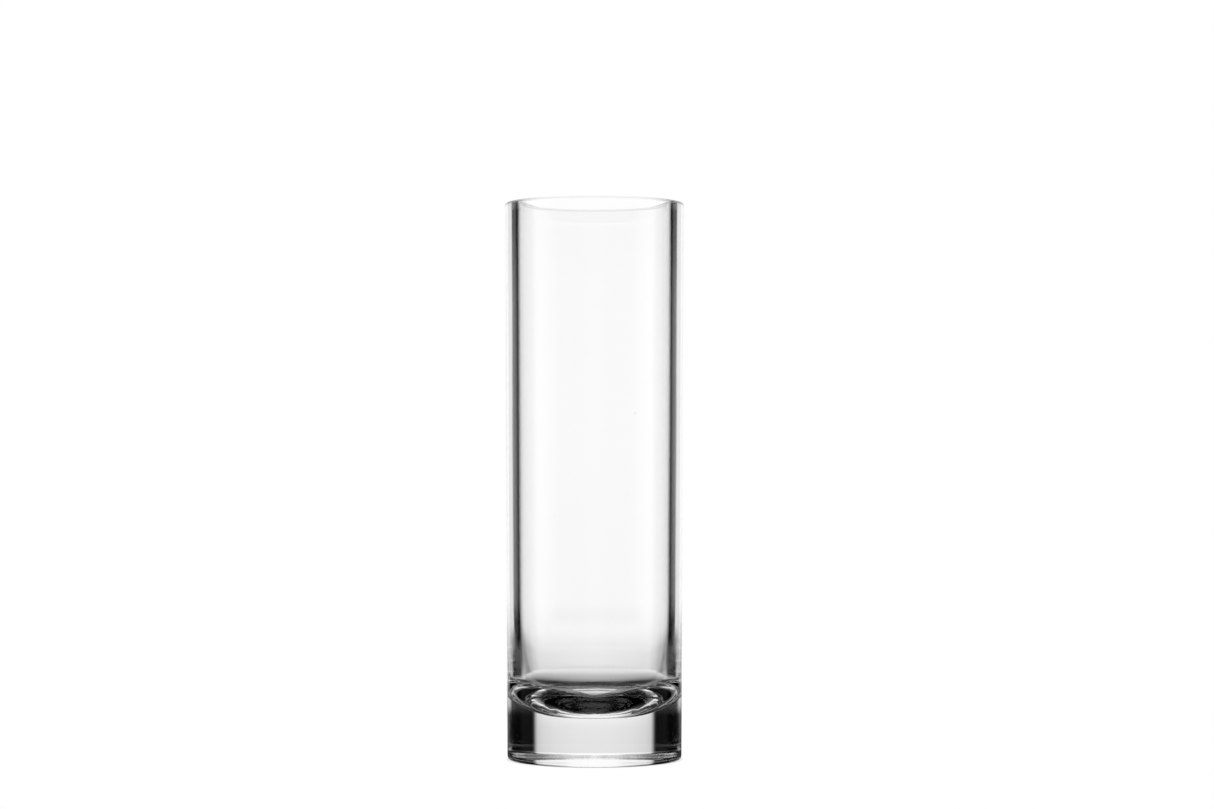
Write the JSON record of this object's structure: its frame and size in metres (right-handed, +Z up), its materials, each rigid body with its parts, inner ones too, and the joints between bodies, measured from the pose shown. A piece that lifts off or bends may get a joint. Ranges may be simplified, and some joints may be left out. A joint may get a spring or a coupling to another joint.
{
  "type": "glass cylinder vase",
  "caption": "Tall clear glass cylinder vase with a straight wall, a rounded rim, an open cavity for stems and water, and a thick solid base.",
  "frame": {"origin": "centre of the plane that the foot stands on, on the vase's axis", "axes": "+Z up along the vase's axis, from the foot to the rim; X and Y are free, because the vase is round"},
  "size_m": [0.0644, 0.0644, 0.2],
  "materials": {
    "glass": "clear, fire-polished"
  },
  "bodies": {
    "root": {"glass_body": "glass"}
  },
  "joints": []
}
